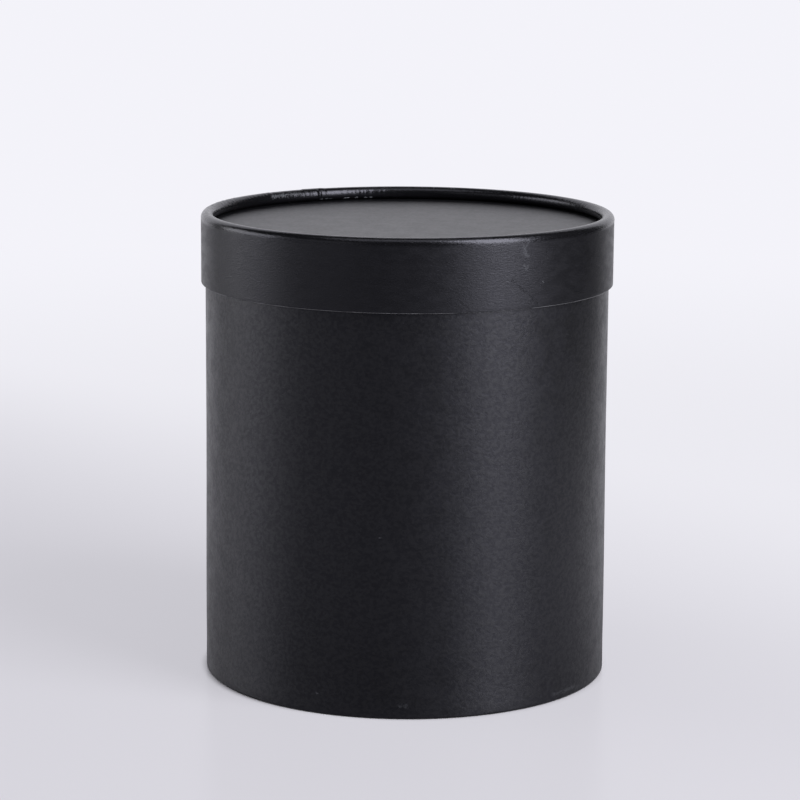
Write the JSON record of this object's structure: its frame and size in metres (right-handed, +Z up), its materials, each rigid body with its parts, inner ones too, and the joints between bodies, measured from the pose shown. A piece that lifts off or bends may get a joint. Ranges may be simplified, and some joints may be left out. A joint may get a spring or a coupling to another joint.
{
  "type": "round flower box",
  "caption": "Round paper-covered board box with a lift-off lid whose top edge is rolled into a bead, for flowers or gifts.",
  "frame": {"origin": "centre of the box's underside, on the surface that it stands on", "axes": "+Z up along the axis of the box and its lid; -Y faces the viewer of the picture; the box's paper seam is at +Y"},
  "size_m": [0.18, 0.18, 0.2039],
  "materials": {
    "covering_paper": "matt black, fine grain, soft touch",
    "lining_paper": "matt black, uncoated",
    "board": "raw grey board"
  },
  "bodies": {
    "box": {"body_tube": "board", "body_wrap": "covering_paper", "body_lining": "lining_paper", "base_disc": "board", "floor_paper": "lining_paper", "base_paper": "covering_paper"},
    "lid": {"lid_ring": "board", "lid_wrap": "covering_paper", "lid_disc": "board", "lid_top_paper": "covering_paper", "lid_disc_lining": "lining_paper"}
  },
  "joints": [
    {"name": "lid_lift", "type": "slide", "parent": "box", "child": "lid", "axis": [0, 0, 1], "range_m": [0, 0.12]}
  ]
}
